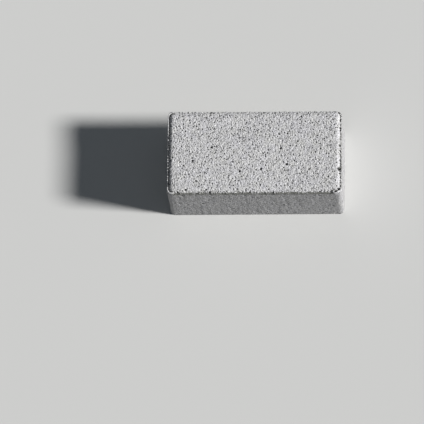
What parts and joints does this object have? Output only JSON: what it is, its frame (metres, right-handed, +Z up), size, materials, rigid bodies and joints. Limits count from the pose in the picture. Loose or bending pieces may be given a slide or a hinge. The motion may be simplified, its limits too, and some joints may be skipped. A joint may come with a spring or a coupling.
{
  "type": "concrete paving stone",
  "caption": "Rectangular pressed concrete paving stone: flat bed, upright sides, and a wearing face with a narrow rim and a rounded bevel round its edge.",
  "frame": {"origin": "centre of the bed face, at the level that the stone lies on", "axes": "+X along the length, +Y along the width, +Z up out of the wearing face"},
  "size_m": [0.1976, 0.0974, 0.08],
  "materials": {
    "concrete": "matte"
  },
  "bodies": {
    "root": {"paving_stone": "concrete"}
  },
  "joints": []
}
